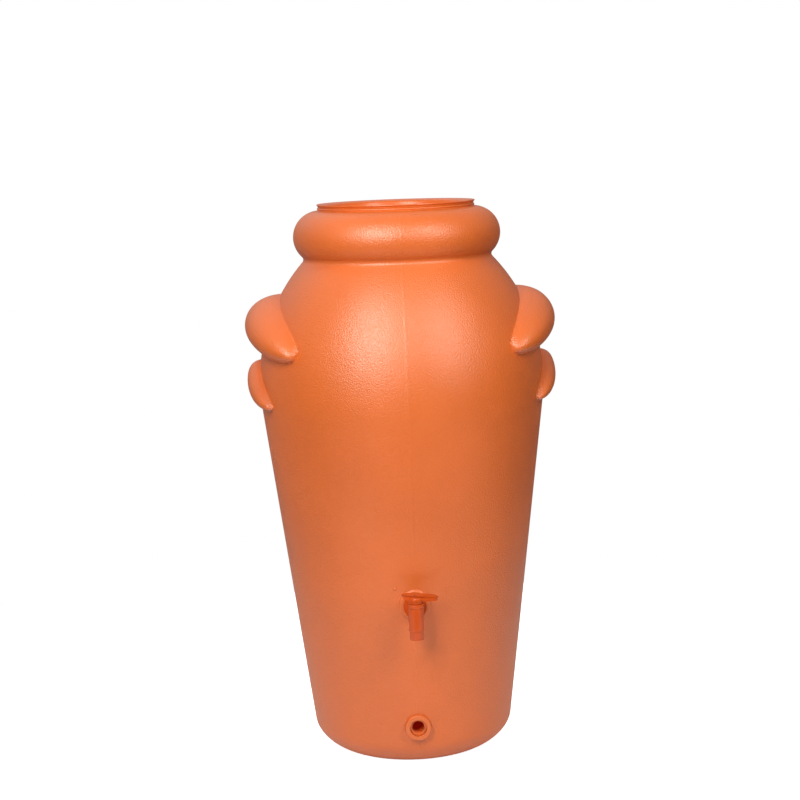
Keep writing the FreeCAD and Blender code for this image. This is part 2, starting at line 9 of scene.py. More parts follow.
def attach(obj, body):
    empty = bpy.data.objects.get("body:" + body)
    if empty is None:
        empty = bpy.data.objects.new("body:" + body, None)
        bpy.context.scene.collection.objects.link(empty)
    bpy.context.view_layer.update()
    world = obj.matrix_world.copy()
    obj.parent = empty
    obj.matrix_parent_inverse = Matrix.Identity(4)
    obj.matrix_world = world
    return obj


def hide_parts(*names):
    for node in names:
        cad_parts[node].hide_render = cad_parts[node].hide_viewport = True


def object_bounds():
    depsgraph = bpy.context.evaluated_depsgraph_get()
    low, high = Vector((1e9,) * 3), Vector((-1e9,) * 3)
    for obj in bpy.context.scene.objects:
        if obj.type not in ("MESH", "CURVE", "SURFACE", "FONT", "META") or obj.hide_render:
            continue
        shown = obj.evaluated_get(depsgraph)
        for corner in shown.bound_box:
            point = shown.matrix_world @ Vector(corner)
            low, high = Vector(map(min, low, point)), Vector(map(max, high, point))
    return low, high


# The looks of the rain barrel. Shapes are worked out in millimetres, as in the CAD source, and made in
# metres. The origin is the centre of the flat base. The tap and drain face -Y, the ears are on +X and -X.

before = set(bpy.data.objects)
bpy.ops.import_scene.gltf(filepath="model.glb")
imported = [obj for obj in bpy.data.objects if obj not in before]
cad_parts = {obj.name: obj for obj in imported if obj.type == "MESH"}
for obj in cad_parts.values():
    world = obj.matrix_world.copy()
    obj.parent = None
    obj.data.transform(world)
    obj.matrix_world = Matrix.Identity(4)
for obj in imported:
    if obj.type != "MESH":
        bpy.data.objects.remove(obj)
CAD_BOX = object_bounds()
MM = 0.001

# ---------------------------------------------------------------- dimensions

# Shell. Centres are a radius and a height.
WALL = 4.5
FOOT_RADIUS = 155.0          # edge of the flat base
FOOT_HEIGHT = 46.0           # where the base's rounding meets the cone
FOOT_HANDLES = (13.0, 23.5)  # pull of the rounding's curve along the base and down the cone
FLARE = math.radians(7.04)   # lean of the cone
BELLY_CENTRE = (-78.5, 741.4)
BELLY_RADIUS = 363.6
RING_CENTRE = (154.0, 1035.5)
RING_RADIUS = 52.2
CREASE_FILLET = 8.0
MOUTH_RADIUS = 146.0
MOUTH_EDGE = 1.0             # rounding of the mouth's inner edge
NECK_RADIUS = 155.2
NECK_TOP = 1093.4
NECK_TOP_WIDTH = 4.0         # flat top of the neck, outwards from the mouth
NECK_FILLET = 3.0
NECK_CORNER = (0.6, 0.1)     # bend of the neck fillet's curve, from the neck and the ring's end
NECK_BEAD = 1.4
SEAM_HEIGHT = 0.5            # ridge left by the mould's parting line
SEAM_START = 12.0
SEAM_FADE_IN = 30.0
SEAM_END = 1086.0
SEAM_FADE_OUT = 12.0

# Ears, as in the CAD source. A pole is its reach and level in the ear's middle, then at its tips. The
# least height is what the grid's rows still cover at the tips and beside the ear, where it has no height.
UPPER_EAR = {"foot": 796.0, "height": 130.0, "spread": 42.2, "tip_lift": 30.0, "arch": 21.5,
             "roundness": 1.45, "foot_roundness": 3.5, "plan_roundness": 2.6,
             "low_pole": ((65.4, 0.28), (58.0, 0.20)), "high_pole": ((77.9, 0.98), (52.0, 0.80)),
             "least_height": 34.0}
LOWER_EAR = {"foot": 701.5, "height": 94.4, "spread": 25.7, "tip_lift": 12.0, "arch": 0.0,
             "roundness": 1.2, "foot_roundness": 2.5, "plan_roundness": 2.3,
             "low_pole": ((31.0, 0.23), (40.0, 0.08)), "high_pole": ((41.4, 0.98), (34.0, 0.80)),
             "least_height": 30.0}
EAR_DIP = 2.5                # how far an ear's foot and top lie behind the body's surface
EAR_SLOPE = 1.2              # how fast an ear's surface falls away below its foot and above its top
NO_EAR = -20.0               # offset where there is no ear, well behind the body's surface
EAR_FOOT_FILLET = 6.0
EAR_TOP_FILLET = 3.0

# Ports in the shell: a round pad on each side of the wall and a hole through it. "face" and "back" are
# how far the two pads stand from the barrel's axis, "bore" lists each radius of the hole with the depth it
# reaches, "low" and "high" bound the cut-out in the grid, and "side" is -1 at the front and 1 at the back.
TAP_PORT = {"z": 340.5, "hole_z": 339.0, "face": 244.0, "back": 228.0, "radius": 30.0, "edge": 3.5,
            "bore": [(13.3, 228.0)], "low": 300.5, "high": 380.5, "side": -1}
DRAIN_PORT = {"z": 85.0, "hole_z": 85.0, "face": 216.0, "back": 197.0, "radius": 25.2, "edge": 1.6,
              "bore": [(16.7, 202.9), (15.1, 197.0)], "low": 50.5, "high": 119.5, "side": -1}
INLET_PORT = {"z": 1036.0, "hole_z": 1036.0, "face": 209.0, "back": 195.0, "radius": 24.0, "edge": 2.0,
              "bore": [(16.1, 195.0)], "low": 1002.0, "high": 1070.0, "side": 1}
PORT_HALF_ANGLE = 10.5
PAD_SLOPE = 10.0             # how steeply a pad's side goes into the wall
OUTER_BLEND = 2.5            # fillets between the wall and its pads
INNER_BLEND = 2.0
PIP_X = -37.0                # small pip beside the tap
PIP_Z = 373.5
PIP_ROOT = 3.0               # how deep it starts in the wall
PIP_OUTLINE = [(0, 0), (3.0, 0), (2.95, 3.6), (2.6, 4.5), (1.9, 5.1), (1.0, 5.35), (0, 5.4)]

# Grid of the shell's surface. Angles are in degrees from +X.
FRONT = 270.0
BACK = 90.0
EAR_ZONE = 640.0             # height at which the grid starts to follow the ears
BASE_RADII = (3.0, 60.0, 110.0, 145.0)
PORT_ROWS = 18               # rows of the grid across each port
CREASE_ROWS = 6
NECK_FILLET_STEPS = (0.35, 0.7, 1.0)
NECK_BEAD_ROWS = 8
OUTER_ROWS = {"foot": 12, "below_drain": 2, "drain_to_tap": 14, "tap_to_ears": 18,
              "ears": (10, 26, 8, 34, 18), "below_inlet": 5, "above_inlet": 12}
INNER_ROWS = {"foot": 6, "below_drain": 2, "drain_to_tap": 6, "tap_to_ears": 7,
              "ears": (4, 12, 4, 16, 6), "below_inlet": 3, "above_inlet": 5}
APPROACH_POWER = 1.6         # how strongly rows crowd towards the lower ear's foot
SHOULDER_POWER = 1.3         # how strongly rows crowd towards the upper ear's top
EAR_CROWDING = 0.3           # how strongly rows crowd towards an ear's foot and top
EAR_SAMPLES = 120            # points worked out along an ear's outline
COLUMN_STEPS = ((21, 1.5), (28.5, 0.75), (37.5, 1.5), (45, 0.5), (48, 1.0), (79.5, 2.25),
                (89.55, 0.84), (90, 0.45))   # end of each stretch of a quarter turn, and its step
ANGLE_TOLERANCE = 0.01       # for finding the columns at a port's edges
REACH_SHARES = (0.4, 0.75)   # rings from a port's cut-out to the first ring round its pad
RING_STEPS = (5.0, 3.2, 2.0, 1.3, 0.8, 0.5, 0.25, 0.0)   # rings outside a pad's edge
EDGE_RINGS = 5               # rings over a pad's rounded edge
FLAT_SHARES = (0.5, 0.2)     # rings on a pad's flat, as shares of the way out from its hole
LEAST_COSINE = 0.001         # keeps a limit finite where the surface faces away from it

# Planter
PLANTER_FLOOR = 900.0
PLANTER_WALL = 3.5
PLANTER_BASE = 4.5
FLOOR_RADIUS = 112.0
THROAT_RADIUS = 142.5
LIP_FOOT = 154.6
LIP_RADIUS = 157.3
LIP_GAP = 0.3                # between the neck's top and the lip
HEIGHT = 1100.0
UNDER_LIP = NECK_TOP + LIP_GAP
DRAIN_HOLE = 5.0             # radius
DRAIN_HOLES = 8              # round the one in the middle
DRAIN_HOLE_CIRCLE = 62.0
CUT_MARGIN = 5.0

# Edges. Those that turn by more degrees than the sharp angle are shaded sharp, and small parts' edges are
# rounded by a width.
SHARP_ANGLE = 40.0
SHELL_SHARP_ANGLE = 50.0
WELD_DISTANCE = 0.01
EDGE_WIDTH = 0.35
SEAL_EDGE_WIDTH = 0.25
SCREEN_EDGE_WIDTH = 0.2
SCREW_EDGE_WIDTH = 0.15
EDGE_ANGLE = math.radians(32)
LONGEST_ROUNDING = 0.45      # of the length of an outline's edge

# Camera, in the barrel's frame
CAMERA_DISTANCE = 3368.86
CAMERA_HEIGHT = 1220.0
CAMERA_LENS = 75.834
CAMERA_TURN = math.radians(2.4)
CAMERA_YAW = math.radians(-0.0823)
CAMERA_PITCH = math.radians(8.753)
CAMERA_ROLL = math.radians(2.0263)

# Lights and surroundings, in metres and watts
WARM = (1.0, 0.96, 0.88)
SOFTBOX_DISTANCE = 2.5
SOFTBOX_ELEVATION = math.radians(29)
SOFTBOX_AIM = 0.78
GLOW_POWER = 0.55
GLOW_COLOUR = (1.0, 0.12, 0.03)
GLOW_RADIUS = 0.08
GLOW_HEIGHT = 0.35
WORLD_FRONT = 0.14
WORLD_BACK = 0.95
WORLD_LOW = 0.3              # share of the light that is left at the horizon
WORLD_RIGHT = 0.45           # share of the light that is left on the right
FLOOR_HALF = 1150.0          # in millimetres, as the shapes are
FLOOR_COLOUR = (0.74, 0.72, 0.72, 1)
FLOOR_ROUGHNESS = 0.7
FLOOR_GLOW = (0.05, 0.95)    # for light that falls on other things, and as the camera sees it


# ---------------------------------------------------------------- mesh helpers

def new_object(name, vertices, faces, sharp_angle=SHARP_ANGLE):
    """Smooth-shaded mesh object from points in millimetres."""
    mesh = bpy.data.meshes.new(name)
    mesh.from_pydata([tuple(MM * c for c in v) for v in vertices], [], faces)
    work = bmesh.new()
    work.from_mesh(mesh)
    bmesh.ops.delete(work, geom=[v for v in work.verts if not v.link_faces], context="VERTS")
    bmesh.ops.recalc_face_normals(work, faces=work.faces)
    work.to_mesh(mesh)
    work.free()
    mesh.shade_smooth()
    mesh.set_sharp_from_angle(angle=math.radians(sharp_angle))
    obj = bpy.data.objects.new(name, mesh)
    bpy.context.scene.collection.objects.link(obj)
    return obj


def finish_piece(obj, body, slot, *nodes):
    """Ties a piece to its body, hides the CAD nodes that it stands in for and gives it its material."""
    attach(obj, body)
    if nodes:
        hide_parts(*nodes)
    obj.data.materials.clear()
    obj.data.materials.append(MATERIALS[slot])


def rounded_outline(points, segments=5):
    """Outline of (radius, height, rounding) corners with each corner rounded."""
    outline = []
    count = len(points)
    for index, (r, z, rounding_radius) in enumerate(points):
        here = Vector((r, z))
        before = Vector(points[index - 1][:2]) - here
        after = Vector(points[(index + 1) % count][:2]) - here
        if not rounding_radius:
            outline.append(tuple(here))
            continue
        reach = min(rounding_radius, LONGEST_ROUNDING * before.length, LONGEST_ROUNDING * after.length)
        start = here + before.normalized() * reach
        end = here + after.normalized() * reach
        for step in range(segments + 1):
            t = step / segments
            outline.append(tuple((1 - t) ** 2 * start + 2 * t * (1 - t) * here + t ** 2 * end))
    return outline


def lathe(outline, segments):
    """Vertices and faces of a closed outline of (radius, height) turned about Z. Radius 0 makes a pole."""
    vertices = []
    rings = []
    for r, z in outline:
        if r < 1e-6:
            rings.append([len(vertices)] * segments)
            vertices.append((0.0, 0.0, z))
            continue
        rings.append(list(range(len(vertices), len(vertices) + segments)))
        for step in range(segments):
            angle = 2 * math.pi * step / segments
            vertices.append((r * math.cos(angle), r * math.sin(angle), z))
    faces = []
    for index, ring in enumerate(rings):
        following = rings[(index + 1) % len(rings)]
        for step in range(segments):
            after = (step + 1) % segments
            corners = [ring[step], ring[after], following[after], following[step]]
            unique = list(dict.fromkeys(corners))
            if len(unique) > 2:
                faces.append(unique)
    return vertices, faces


# ---------------------------------------------------------------- the shell's surface

def crossing(centre_a, radius_a, centre_b, radius_b):
    """Outer crossing point of two circles in the (radius, height) plane."""
    across = centre_b[0] - centre_a[0]
    rise = centre_b[1] - centre_a[1]
    apart = math.hypot(across, rise)
    along = (radius_a ** 2 - radius_b ** 2 + apart ** 2) / (2 * apart)
    aside = math.sqrt(radius_a ** 2 - along ** 2)
    return (centre_a[0] + (along * across + aside * rise) / apart,
            centre_a[1] + (along * rise - aside * across) / apart)


def body_radius(z, inset=0.0):
    """Radius of the body below the ring, without ears, on a surface inset behind the outer one."""
    z = np.asarray(z, float)
    radius = BELLY_RADIUS - inset
    belly_start = BELLY_CENTRE[1] - radius * math.sin(FLARE)
    belly = BELLY_CENTRE[0] + np.sqrt(np.maximum(radius ** 2 - (z - BELLY_CENTRE[1]) ** 2, 0))
    cone = BELLY_CENTRE[0] + radius * math.cos(FLARE) - (belly_start - z) * math.tan(FLARE)
    return np.where(z < belly_start, cone, belly)


def ring_radius(z, inset):
    """Outer radius of the ring on a surface inset behind the outer one."""
    radius = RING_RADIUS - inset
    return RING_CENTRE[0] + np.sqrt(np.maximum(radius ** 2 - (z - RING_CENTRE[1]) ** 2, 0))


def smooth_max(a, b, blend):
    """The larger of two surfaces, with the corner between them filled."""
    share = np.clip(0.5 + 0.5 * (a - b) / blend, 0, 1)
    return b + (a - b) * share + blend * share * (1 - share)


def rounding(across, power):
    """Height of a superellipse's quarter, which falls from 1 in the middle to 0 at its end."""
    return (1 - across ** power) ** (1 / power)


def bezier(poles, t):
    """Point at a share t of a cubic curve."""
    a, b, c, d = poles
    return (1 - t) ** 3 * a + 3 * (1 - t) ** 2 * t * b + 3 * (1 - t) * t ** 2 * c + t ** 3 * d


def ear_poles(ear, across):
    """Reach and level of an ear's two control poles at a share of its half width."""
    blended = []
    for name in ("low_pole", "high_pole"):
        middle, tip = ear[name]
        blended.append([a + (b - a) * across ** 2 for a, b in zip(middle, tip)])
    return blended


def ear_span(ear, across, inset):
    """Foot and top of an ear at a share of its half width."""
    lift = ear["tip_lift"]
    arch = ear["arch"] * (1 - across ** 2) ** 2
    foot = ear["foot"] + arch + lift * (1 - rounding(across, ear["foot_roundness"])) + inset
    top = ear["foot"] + lift + (ear["height"] - lift) * rounding(across, ear["roundness"]) - inset
    return foot, top


def ear_offset(ear, across, inset, z):
    """How far an ear stands out from the body at heights z, and how wide the fillet along it is."""
    foot, top = ear_span(ear, across, inset)
    height = top - foot
    if across >= 1 or height < 1:
        return np.full(len(z), NO_EAR), np.full(len(z), EAR_TOP_FILLET)
    (low_reach, low_level), (high_reach, high_level) = ear_poles(ear, across)
    share = rounding(across, ear["plan_roundness"])
    levels = np.array([foot, foot + low_level * height, foot + high_level * height, top])
    stands_out = np.array([-EAR_DIP, share * low_reach, share * high_reach, -EAR_DIP])
    radii = body_radius(levels) - inset + stands_out
    t = np.linspace(0, 1, EAR_SAMPLES)
    outline_z = bezier(levels, t)
    outline_out = bezier(radii, t) - (body_radius(outline_z) - inset)
    out = np.interp(z, outline_z, outline_out)
    out = np.where(z < foot, -EAR_DIP - EAR_SLOPE * (foot - z), out)
    out = np.where(z > top, -EAR_DIP - EAR_SLOPE * (z - top), out)
    level = np.clip((z - foot) / height, 0, 1)
    fillet = EAR_FOOT_FILLET + (EAR_TOP_FILLET - EAR_FOOT_FILLET) * level
    return out, fillet


def ear_rows(ear, across, inset, count):
    """Heights of the grid's rows over an ear, closer together where the ear turns."""
    foot, top = ear_span(ear, across, inset)
    height = max(top - foot, ear["least_height"])
    t = np.linspace(0, 1, count + 1)
    t = (1 - EAR_CROWDING) * t + EAR_CROWDING * (0.5 - 0.5 * np.cos(math.pi * t))
    (_, low_level), (_, high_level) = ear_poles(ear, across)
    return foot + height * bezier([0.0, low_level, high_level, 1.0], t)


def spaced(start, end, count):
    """Values after start up to and with end."""
    return start + (end - start) * np.arange(1, count + 1) / count


def side_angle(angle):
    """Degrees between a column and the middle of the nearer ear."""
    turned = abs((angle + 180) % 360 - 180)
    return min(turned, 180 - turned)


def body_columns(angles, inset, counts, zone_end):
    """Heights and radii of the rows from the ear zone's start to its end, with one column per angle."""
    below, lower, between, upper, above = counts
    approach_shares = 1 - (1 - spaced(0, 1, below)) ** APPROACH_POWER
    shoulder_shares = spaced(0, 1, above) ** SHOULDER_POWER
    heights = []
    radii = []
    for angle in angles:
        side = side_angle(angle)
        across_lower = min(side / LOWER_EAR["spread"], 1)
        across_upper = min(side / UPPER_EAR["spread"], 1)
        lower_rows = ear_rows(LOWER_EAR, across_lower, inset, lower)
        upper_rows = ear_rows(UPPER_EAR, across_upper, inset, upper)
        approach = EAR_ZONE + (lower_rows[0] - EAR_ZONE) * approach_shares
        gap = spaced(lower_rows[-1], upper_rows[0], between)
        shoulder = upper_rows[-1] + (zone_end - upper_rows[-1]) * shoulder_shares
        z = np.concatenate([approach, lower_rows[1:], gap, upper_rows[1:], shoulder])
        surface = body_radius(z, inset)
        for ear, across in ((LOWER_EAR, across_lower), (UPPER_EAR, across_upper)):
            out, fillet = ear_offset(ear, across, inset, z)
            surface = smooth_max(body_radius(z) - inset + out, surface, fillet)
        heights.append(z)
        radii.append(surface)
    return np.array(heights).T, np.array(radii).T


def column_angles():
    """Angles of the grid's columns: closer together round the ears' tips and at the ports."""
    quarter = [0.0]
    for end, step in COLUMN_STEPS:
        count = round((end - quarter[-1]) / step)
        quarter.extend(spaced(quarter[-1], end, count))
    half = quarter + [180 - a for a in reversed(quarter[:-1])]
    return np.array(half + [360 - a for a in reversed(half[1:-1])])


def arc_points(centre, radius, start, end, count):
    """Points along an arc in the (radius, height) plane after start up to and with end."""
    first = math.atan2(start[1] - centre[1], start[0] - centre[0])
    last = math.atan2(end[1] - centre[1], end[0] - centre[0])
    angles = spaced(first, last, count)
    return [(centre[0] + radius * math.cos(a), centre[1] + radius * math.sin(a)) for a in angles]


def foot_points(inset, count):
    """Base and its rounding, from near the centre up to the cone."""
    cone_foot = (float(body_radius(FOOT_HEIGHT, inset)), FOOT_HEIGHT)
    along_base, down_cone = FOOT_HANDLES
    low_handle = (FOOT_RADIUS + along_base, inset)
    high_handle = (cone_foot[0] - down_cone * math.tan(FLARE), cone_foot[1] - down_cone + inset / 2)
    poles = [np.array(p) for p in ((FOOT_RADIUS, inset), low_handle, high_handle, cone_foot)]
    points = [(r, inset) for r in (*BASE_RADII, FOOT_RADIUS)]
    points += [tuple(bezier(poles, t)) for t in spaced(0, 1, count)]
    return points


def fillet_middle():
    """Middle of the crease's fillet, which touches the belly and the ring."""
    return crossing(BELLY_CENTRE, BELLY_RADIUS + CREASE_FILLET, RING_CENTRE, RING_RADIUS + CREASE_FILLET)


def touching_point(centre, radius, middle):
    """Where the crease's fillet touches a circle."""
    share = radius / (radius + CREASE_FILLET)
    return tuple(c + (m - c) * share for c, m in zip(centre, middle))


def inner_crease(inset):
    """Crease on the wall's inner side, which has no fillet."""
    return crossing(BELLY_CENTRE, BELLY_RADIUS - inset, RING_CENTRE, RING_RADIUS - inset)


def crease_points():
    """Fillet between the shoulder and the ring."""
    middle = fillet_middle()
    start = touching_point(BELLY_CENTRE, BELLY_RADIUS, middle)
    end = touching_point(RING_CENTRE, RING_RADIUS, middle)
    first = math.atan2(start[1] - middle[1], start[0] - middle[0]) % (2 * math.pi)
    last = math.atan2(end[1] - middle[1], end[0] - middle[0]) % (2 * math.pi)
    return [(middle[0] + CREASE_FILLET * math.cos(a), middle[1] + CREASE_FILLET * math.sin(a))
            for a in spaced(first, last, CREASE_ROWS)]


def shoulder_end(inset):
    """Height at which the shoulder ends, at the crease's fillet or at the crease itself."""
    if inset:
        return inner_crease(inset)[1]
    return touching_point(BELLY_CENTRE, BELLY_RADIUS, fillet_middle())[1]


def neck_points(ring_end):
    """Fillet above the ring, the rounded bead round the neck and the neck's flat top."""
    corner = (NECK_RADIUS + NECK_CORNER[0], ring_end[1] + NECK_CORNER[1])
    bead_foot = (NECK_RADIUS, ring_end[1] + NECK_FILLET / 2)
    points = []
    for t in NECK_FILLET_STEPS:
        points.append(tuple((1 - t) ** 2 * a + 2 * t * (1 - t) * b + t ** 2 * c
                            for a, b, c in zip(ring_end, corner, bead_foot)))
    for share in spaced(0, 1, NECK_BEAD_ROWS):
        out = NECK_BEAD * math.sin(math.pi * share)
        points.append((NECK_RADIUS + out, bead_foot[1] + share * (NECK_TOP - bead_foot[1])))
    points.append((MOUTH_RADIUS + NECK_TOP_WIDTH, NECK_TOP))
    return points


def mouth_points():
    """Inner side of the neck, with its rounded edge."""
    bevel = 0.3 * MOUTH_EDGE
    return [(MOUTH_RADIUS, NECK_TOP - MOUTH_EDGE), (MOUTH_RADIUS + bevel, NECK_TOP - bevel)]


def shell_grid(angles, inset):
    """Heights and radii of the whole grid of one side of the wall, and the rows where each port starts."""
    rows = INNER_ROWS if inset else OUTER_ROWS
    foot = foot_points(inset, rows["foot"])
    marks = {}
    cone = []

    def climb(end, count):
        """Adds rows up to and with a height."""
        cone.extend(spaced(cone[-1] if cone else FOOT_HEIGHT, end, count))

    climb(DRAIN_PORT["low"], rows["below_drain"])
    marks["drain"] = len(foot) + len(cone) - 1
    climb(DRAIN_PORT["high"], PORT_ROWS)
    climb(TAP_PORT["low"], rows["drain_to_tap"])
    marks["tap"] = len(foot) + len(cone) - 1
    climb(TAP_PORT["high"], PORT_ROWS)
    climb(EAR_ZONE, rows["tap_to_ears"])
    zone_z, zone_r = body_columns(angles, inset, rows["ears"], shoulder_end(inset))
    top, inlet_start = ring_rows(inset, rows)
    flat = foot + [(float(body_radius(z, inset)), z) for z in cone]
    marks["inlet"] = len(flat) + len(zone_z) + inlet_start
    columns = len(angles)

    def spread(points):
        """Heights and radii of points that are the same in every column."""
        table = np.array(points)
        return np.repeat(table[:, 1:2], columns, 1), np.repeat(table[:, 0:1], columns, 1)

    low_z, low_r = spread(flat)
    high_z, high_r = spread(top)
    return np.vstack([low_z, zone_z, high_z]), np.vstack([low_r, zone_r, high_r]), marks


def ring_rows(inset, rows):
    """Points over the crease, the ring and the neck, and which of them starts the inlet port."""
    radius = RING_RADIUS - inset
    crease = [] if inset else crease_points()
    start = inner_crease(inset) if inset else crease[-1]
    neck_foot = MOUTH_RADIUS if inset else NECK_RADIUS + NECK_FILLET
    ring_end = (neck_foot, RING_CENTRE[1] + math.sqrt(radius ** 2 - (neck_foot - RING_CENTRE[0]) ** 2))
    low = (float(ring_radius(INLET_PORT["low"], inset)), INLET_PORT["low"])
    high = (float(ring_radius(INLET_PORT["high"], inset)), INLET_PORT["high"])
    points = crease + arc_points(RING_CENTRE, radius, start, low, rows["below_inlet"])
    inlet_start = len(points) - 1
    points += arc_points(RING_CENTRE, radius, low, high, PORT_ROWS)
    points += arc_points(RING_CENTRE, radius, high, ring_end, rows["above_inlet"])
    points += mouth_points() if inset else neck_points(ring_end)
    return points, inlet_start


# ---------------------------------------------------------------- the shell's ports

def pad_profile(port, distance):
    """How far the outer pad stands from the barrel's axis, at distances from the pad's own axis."""
    edge = port["edge"]
    into_edge = np.clip(distance - (port["radius"] - edge), 0, edge)
    curve = port["face"] - edge + np.sqrt(edge ** 2 - into_edge ** 2)
    return curve - PAD_SLOPE * np.maximum(distance - port["radius"], 0)


def port_rings(port):
    """Radii of the rings between the cut-out in the grid and the hole."""
    over_edge = [-port["edge"] * (1 - math.cos(a)) for a in spaced(0, math.pi / 2, EDGE_RINGS)]
    return [port["radius"] + step for step in (*RING_STEPS, *over_edge)]


def close_port(vertices, faces, loop, port, inset, radius_at):
    """Fills the cut-out down to the hole's rim and returns the rim's vertex numbers."""
    side = port["side"]
    outline = np.array([vertices[i] for i in loop])
    x = outline[:, 0]
    dz = outline[:, 2] - port["z"]
    angle = np.arctan2(dz, x)
    hole = port["bore"][0][0] if not inset else port["bore"][-1][0]
    rings = port_rings(port) + [hole + (port["radius"] - hole) * s for s in FLAT_SHARES]
    stations = [(x + (rings[0] * np.cos(angle) - x) * s, dz + (rings[0] * np.sin(angle) - dz) * s)
                for s in REACH_SHARES]
    stations += [(r * np.cos(angle), r * np.sin(angle)) for r in rings]
    stations.append((hole * np.cos(angle), hole * np.sin(angle) + port["hole_z"] - port["z"]))
    previous = loop
    for px, pz in stations:
        distance = np.hypot(px, pz)
        z = pz + port["z"]
        wall = np.sqrt(radius_at(z, inset) ** 2 - px ** 2)
        if inset:
            back = port["back"] + PAD_SLOPE * np.maximum(distance - port["radius"], 0)
            depth = -smooth_max(-wall, -back, INNER_BLEND)
        else:
            depth = smooth_max(wall, pad_profile(port, distance), OUTER_BLEND)
        previous = add_ring(vertices, faces, previous, px, side * depth, z)
    return previous


def add_ring(vertices, faces, previous, x, y, z):
    """Adds a ring of vertices and joins it to the one before."""
    start = len(vertices)
    count = len(previous)
    y = np.broadcast_to(y, count)
    vertices.extend(zip(x, y, z))
    ring = list(range(start, start + count))
    for step in range(count):
        after = (step + 1) % count
        faces.append((previous[step], previous[after], ring[after], ring[step]))
    return ring


def cut_out(grid, row, columns):
    """Vertex numbers round a port's cut-out in the grid."""
    low, high = row, row + PORT_ROWS
    left, right = columns
    loop = [grid[low][c] for c in range(left, right)]
    loop += [grid[r][right] for r in range(low, high)]
    loop += [grid[high][c] for c in range(right, left, -1)]
    loop += [grid[r][left] for r in range(high, low, -1)]
    return loop


def bore_rings(vertices, faces, rim, port, inner_rim):
    """Walls of the hole from the outer rim to the inner one, with a step where it narrows."""
    side = port["side"]
    outline = np.array([vertices[i] for i in rim])
    angle = np.arctan2(outline[:, 2] - port["hole_z"], outline[:, 0])
    previous = rim
    for index, (radius, depth) in enumerate(port["bore"]):
        x = radius * np.cos(angle)
        z = radius * np.sin(angle) + port["hole_z"]
        if index:
            previous = add_ring(vertices, faces, previous, x, side * port["bore"][index - 1][1], z)
        if index < len(port["bore"]) - 1:
            previous = add_ring(vertices, faces, previous, x, side * depth, z)
    count = len(rim)
    for step in range(count):
        after = (step + 1) % count
        faces.append((previous[step], previous[after], inner_rim[after], inner_rim[step]))


def port_columns(angles, middle):
    """First and last column of the cut-outs round an angle."""
    inside = [i for i, a in enumerate(angles) if abs(a - middle) < PORT_HALF_ANGLE + ANGLE_TOLERANCE]
    return inside[0], inside[-1]


def grid_vertices(vertices, angles, z, r):
    """Adds a grid's vertices and returns their numbers as rows."""
    turn = np.radians(angles)
    start = len(vertices)
    x = r * np.cos(turn)
    y = r * np.sin(turn)
    vertices.extend(zip(x.ravel(), y.ravel(), z.ravel()))
    rows, columns = z.shape
    return (start + np.arange(rows * columns)).reshape(rows, columns)


def grid_faces(faces, grid, holes):
    """Adds the grid's quads except those inside the cut-outs."""
    rows, columns = grid.shape
    for row in range(rows - 1):
        gaps = [span for start, span in holes if start <= row < start + PORT_ROWS]
        for column in range(columns):
            if any(left <= column < right for left, right in gaps):
                continue
            after = (column + 1) % columns
            low, high = grid[row], grid[row + 1]
            faces.append((low[column], low[after], high[after], high[column]))


def add_seam(angles, z, r):
    """Raises the parting line, front and back, from the foot's rounding up to the neck."""
    for middle in (BACK, FRONT):
        column = int(np.argmin(abs(angles - middle)))
        level = z[:, column]
        fade_in = np.clip((level - SEAM_START) / SEAM_FADE_IN, 0, 1)
        fade_out = np.clip((SEAM_END - level) / SEAM_FADE_OUT, 0, 1)
        r[:, column] += SEAM_HEIGHT * fade_in * fade_out
    return r


def inside_cad(angles, r):
    """Keeps the surface inside the box of the CAD part, whose curved faces are slightly faceted."""
    turn = np.radians(angles)
    side_limit = CAD_BOX[1][0] / MM / np.maximum(np.abs(np.cos(turn)), LEAST_COSINE)
    back_limit = CAD_BOX[1][1] / MM / np.maximum(np.sin(turn), LEAST_COSINE)
    return np.minimum(r, np.minimum(side_limit, back_limit))


def build_shell():
    """Vertices and faces of the whole wall: two grids, the mouth's rim, the ports and the pip."""
    angles = column_angles()
    vertices = []
    faces = []
    ports = (("drain", DRAIN_PORT, FRONT, body_radius), ("tap", TAP_PORT, FRONT, body_radius),
             ("inlet", INLET_PORT, BACK, ring_radius))
    grids = []
    loops = []
    for inset in (0.0, WALL):
        z, r, marks = shell_grid(angles, inset)
        if not inset:
            r = inside_cad(angles, add_seam(angles, z, r))
        grid = grid_vertices(vertices, angles, z, r)
        spans = {name: port_columns(angles, middle) for name, _, middle, _ in ports}
        grid_faces(faces, grid, [(marks[name], spans[name]) for name in spans])
        faces.append([int(i) for i in grid[0]])
        grids.append(grid)
        loops.append({name: cut_out(grid, marks[name], spans[name]) for name in spans})
    outer, inner = grids
    columns = len(angles)
    for column in range(columns):
        after = (column + 1) % columns
        faces.append((outer[-1][column], outer[-1][after], inner[-1][after], inner[-1][column]))
    for name, port, _, radius_at in ports:
        rim = close_port(vertices, faces, loops[0][name], port, 0.0, radius_at)
        inner_rim = close_port(vertices, faces, loops[1][name], port, WALL, radius_at)
        bore_rings(vertices, faces, rim, port, inner_rim)
    add_pip(vertices, faces)
    return vertices, [tuple(int(i) for i in face) for face in faces]


def add_pip(vertices, faces):
    """Small moulded pip on the front, beside the tap."""
    wall = math.sqrt(float(body_radius(PIP_Z)) ** 2 - PIP_X ** 2)
    pip_vertices, pip_faces = lathe(PIP_OUTLINE, segments=24)
    start = len(vertices)
    for x, y, z in pip_vertices:
        vertices.append((PIP_X + x, -(wall - PIP_ROOT + z), PIP_Z + y))
    faces.extend([tuple(start + i for i in face) for face in pip_faces])


# ---------------------------------------------------------------- the planter

